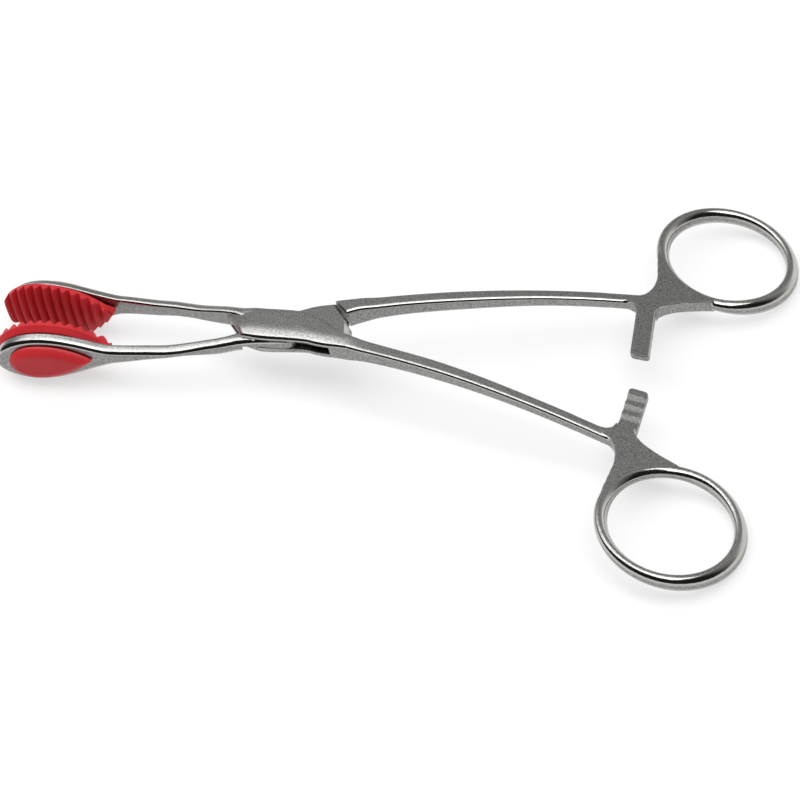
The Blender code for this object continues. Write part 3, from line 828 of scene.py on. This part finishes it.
def steel():
    """Steel that is ground matt on its flat faces and sides, and polished on the rounded edges."""
    made, tree, shader = node_tree("satin_steel")
    nodes = tree.nodes
    links = tree.links
    shader.inputs["Metallic"].default_value = 1.0
    where = nodes.new("ShaderNodeTexCoord")
    grain = nodes.new("ShaderNodeTexNoise")
    grain.inputs["Scale"].default_value = 3400.0
    grain.inputs["Detail"].default_value = 2.0
    cloud = nodes.new("ShaderNodeTexNoise")
    cloud.inputs["Scale"].default_value = 120.0
    cloud.inputs["Detail"].default_value = 4.0
    links.new(where.outputs["Object"], grain.inputs["Vector"])
    links.new(where.outputs["Object"], cloud.inputs["Vector"])
    facing = nodes.new("ShaderNodeNewGeometry")
    split = nodes.new("ShaderNodeSeparateXYZ")
    links.new(facing.outputs["True Normal"], split.inputs["Vector"])
    tilt = nodes.new("ShaderNodeMath")
    tilt.operation = "ABSOLUTE"
    links.new(split.outputs["Z"], tilt.inputs[0])
    # 1 on a flat face or an upright side, and 0 halfway round an edge
    matt = nodes.new("ShaderNodeValToRGB")
    ramp = matt.color_ramp
    ramp.elements[0].position = 0.12
    ramp.elements[0].color = (1.0, 1.0, 1.0, 1.0)
    ramp.elements[1].position = 0.3
    ramp.elements[1].color = (0.0, 0.0, 0.0, 1.0)
    for place, level in ((0.8, 0.0), (0.92, 1.0)):
        ramp.elements.new(place).color = (level, level, level, 1.0)
    links.new(tilt.outputs[0], matt.inputs["Fac"])
    rough = nodes.new("ShaderNodeMapRange")
    rough.inputs["To Min"].default_value = 0.14
    rough.inputs["To Max"].default_value = 0.35
    links.new(matt.outputs["Color"], rough.inputs["Value"])
    links.new(rough.outputs["Result"], shader.inputs["Roughness"])
    speck = nodes.new("ShaderNodeMapRange")
    speck.inputs["From Min"].default_value = 0.38
    speck.inputs["From Max"].default_value = 0.62
    links.new(grain.outputs["Fac"], speck.inputs["Value"])
    fine = nodes.new("ShaderNodeMix")
    fine.data_type = "RGBA"
    fine.inputs["A"].default_value = (0.19, 0.19, 0.187, 1.0)
    fine.inputs["B"].default_value = (0.38, 0.375, 0.365, 1.0)
    links.new(speck.outputs["Result"], fine.inputs["Factor"])
    bright = nodes.new("ShaderNodeMix")
    bright.data_type = "RGBA"
    bright.inputs["A"].default_value = (0.46, 0.45, 0.43, 1.0)
    bright.inputs["B"].default_value = (0.54, 0.53, 0.505, 1.0)
    links.new(cloud.outputs["Fac"], bright.inputs["Factor"])
    shade = nodes.new("ShaderNodeMix")
    shade.data_type = "RGBA"
    links.new(matt.outputs["Color"], shade.inputs["Factor"])
    links.new(bright.outputs["Result"], shade.inputs["A"])
    links.new(fine.outputs["Result"], shade.inputs["B"])
    links.new(shade.outputs["Result"], shader.inputs["Base Color"])
    bump = nodes.new("ShaderNodeBump")
    bump.inputs["Strength"].default_value = 0.3
    bump.inputs["Distance"].default_value = 0.00003
    links.new(grain.outputs["Fac"], bump.inputs["Height"])
    links.new(bump.outputs["Normal"], shader.inputs["Normal"])
    return made


def rubber():
    made, tree, shader = node_tree("red_rubber")
    nodes = tree.nodes
    links = tree.links
    where = nodes.new("ShaderNodeTexCoord")
    grain = nodes.new("ShaderNodeTexNoise")
    grain.inputs["Scale"].default_value = 900.0
    grain.inputs["Detail"].default_value = 4.0
    cloud = nodes.new("ShaderNodeTexNoise")
    cloud.inputs["Scale"].default_value = 160.0
    links.new(where.outputs["Object"], grain.inputs["Vector"])
    links.new(where.outputs["Object"], cloud.inputs["Vector"])
    shade = nodes.new("ShaderNodeMix")
    shade.data_type = "RGBA"
    shade.inputs["A"].default_value = (0.46, 0.014, 0.02, 1.0)
    shade.inputs["B"].default_value = (0.6, 0.028, 0.036, 1.0)
    links.new(cloud.outputs["Fac"], shade.inputs["Factor"])
    links.new(shade.outputs["Result"], shader.inputs["Base Color"])
    shader.inputs["Roughness"].default_value = 0.45
    shader.inputs["Specular IOR Level"].default_value = 0.28
    bump = nodes.new("ShaderNodeBump")
    bump.inputs["Strength"].default_value = 0.2
    bump.inputs["Distance"].default_value = 0.00005
    links.new(grain.outputs["Fac"], bump.inputs["Height"])
    links.new(bump.outputs["Normal"], shader.inputs["Normal"])
    return made


def studio():
    """A pale floor that the instrument rests on, the light and the camera."""
    world = bpy.data.worlds.new("studio")
    bpy.context.scene.world = world
    world.use_nodes = True
    tree = world.node_tree
    back = tree.nodes["Background"]
    back.inputs["Color"].default_value = (1.0, 1.0, 1.0, 1.0)
    # The room is dim in front of the instrument and lighter behind it, with a white backdrop low down.
    where = tree.nodes.new("ShaderNodeTexCoord")
    split = tree.nodes.new("ShaderNodeSeparateXYZ")
    tree.links.new(where.outputs["Generated"], split.inputs["Vector"])

    def ramp(axis, start, end, low, high):
        made = tree.nodes.new("ShaderNodeMapRange")
        made.inputs["From Min"].default_value = start
        made.inputs["From Max"].default_value = end
        made.inputs["To Min"].default_value = low
        made.inputs["To Max"].default_value = high
        tree.links.new(split.outputs[axis], made.inputs["Value"])
        return made.outputs["Result"]

    room = ramp("Y", -0.1, 0.5, 0.015, 0.42)
    drop = tree.nodes.new("ShaderNodeMath")
    drop.operation = "MULTIPLY"
    tree.links.new(ramp("Y", 0.3, 0.7, 0.0, 0.7), drop.inputs[0])
    tree.links.new(ramp("Z", 0.3, 0.12, 0.0, 1.0), drop.inputs[1])
    level = tree.nodes.new("ShaderNodeMath")
    tree.links.new(room, level.inputs[0])
    tree.links.new(drop.outputs[0], level.inputs[1])
    tree.links.new(level.outputs[0], back.inputs["Strength"])

    floor_mesh = bpy.data.meshes.new("floor")
    body = bmesh.new()
    slope = (FLOOR_RINGS[1] - FLOOR_JAWS[1]) / (FLOOR_RINGS[0] - FLOOR_JAWS[0])
    corners = []
    for side_x, side_y in ((-1, -1), (1, -1), (1, 1), (-1, 1)):
        x = side_x * FLOOR_REACH
        height = FLOOR_JAWS[1] + slope * (x - FLOOR_JAWS[0])
        corners.append(body.verts.new((x, side_y * FLOOR_REACH, height)))
    body.faces.new(corners)
    body.to_mesh(floor_mesh)
    body.free()
    floor = add_object("floor", floor_mesh)
    paint, tree, shader = node_tree("pale_floor")
    shader.inputs["Base Color"].default_value = (0.9, 0.9, 0.9, 1.0)
    shader.inputs["Roughness"].default_value = 0.9
    glow = tree.nodes.new("ShaderNodeEmission")
    blend = tree.nodes.new("ShaderNodeMixShader")
    path = tree.nodes.new("ShaderNodeLightPath")
    seen = path.outputs["Is Camera Ray"]
    for ray in ("Is Glossy Ray", "Is Transmission Ray"):
        either = tree.nodes.new("ShaderNodeMath")
        either.operation = "MAXIMUM"
        tree.links.new(seen, either.inputs[0])
        tree.links.new(path.outputs[ray], either.inputs[1])
        seen = either.outputs[0]
    share = tree.nodes.new("ShaderNodeMath")
    share.operation = "MULTIPLY"
    share.inputs[1].default_value = FLOOR_GLOW
    tree.links.new(seen, share.inputs[0])
    tree.links.new(share.outputs[0], blend.inputs["Fac"])
    tree.links.new(shader.outputs["BSDF"], blend.inputs[1])
    tree.links.new(glow.outputs["Emission"], blend.inputs[2])
    tree.links.new(blend.outputs["Shader"], tree.nodes["Material Output"].inputs["Surface"])
    floor.data.materials.append(paint)

    data = bpy.data.lights.new("overhead", "AREA")
    data.shape = "RECTANGLE"
    data.size = 1.6
    data.size_y = 0.7
    data.energy = 12.0
    lamp = add_object("overhead", data)
    lamp.location = (0.0, -0.06, 0.8)
    lamp.rotation_euler = (Vector((0.02, 0.0, 0.0)) - lamp.location).to_track_quat("-Z", "Y").to_euler()

    data = bpy.data.cameras.new("camera")
    data.sensor_width = SENSOR_WIDTH
    data.lens = FOCAL_PIXELS / IMAGE_WIDTH * SENSOR_WIDTH
    data.clip_start = 0.01
    turn = Matrix(CAMERA_TURN)
    middle = Vector((0.0, 0.0, -LOCK_THICKNESS / 2000 + CAMERA_LIFT))
    eye = turn.transposed() @ -Vector(CAMERA_SHIFT) + middle
    camera = add_object("camera", data)
    axes = Matrix((turn[0], -turn[1], -turn[2])).transposed()
    camera.matrix_world = Matrix.Translation(eye) @ axes.to_4x4()
    bpy.context.scene.camera = camera
    bpy.context.scene.view_settings.view_transform = "Standard"


metal = steel()
red = rubber()
upper = jaw_pad("fine_upper_pad")
lower = jaw_pad("fine_lower_pad")
set_jaw(upper, JAW_STAGGER)
set_jaw(lower, -JAW_STAGGER)
mirror_across(lower)
place(box_arm(), -OPEN_ANGLE / 2, "box_side", "box_arm", metal)
place(cross_arm(), OPEN_ANGLE / 2, "cross_side", "cross_arm", metal)
place(lock_pin(), -OPEN_ANGLE / 2, "box_side", "lock_pin", metal)
place(upper, -OPEN_ANGLE / 2, "box_side", "upper_pad", red)
place(lower, OPEN_ANGLE / 2, "cross_side", "lower_pad", red)
studio()
